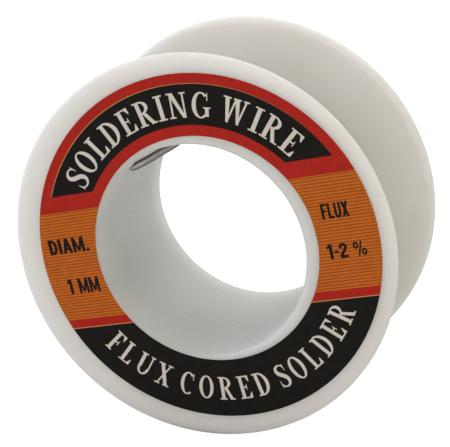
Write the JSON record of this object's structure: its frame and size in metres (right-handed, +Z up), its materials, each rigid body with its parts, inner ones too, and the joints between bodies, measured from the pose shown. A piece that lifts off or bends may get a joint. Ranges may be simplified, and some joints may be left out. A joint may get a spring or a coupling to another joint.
{
  "type": "solder wire spool",
  "caption": "Small white plastic spool with a wide bore and a printed ring label, holding one layer of flux-cored solder wire that starts through a hole in the hub.",
  "frame": {"origin": "centre of the bounding box's underside: the middle of the line between the two points where the rims stand on the floor", "axes": "+Z up, +Y along the spool's axis from the labelled front flange to the rear flange, +X to the right seen from the front"},
  "size_m": [0.05, 0.0244, 0.0499],
  "materials": {
    "white_plastic": "semi-gloss moulded, slightly translucent",
    "printed_label": "printed paper, satin",
    "solder_alloy": "drawn, dull silver",
    "rosin_flux": "amber resin"
  },
  "bodies": {
    "root": {"spool_body": "white_plastic", "front_label": "printed_label", "solder_wire": "solder_alloy", "flux_core_inner_end": "rosin_flux", "flux_core_outer_end": "rosin_flux"}
  },
  "joints": []
}
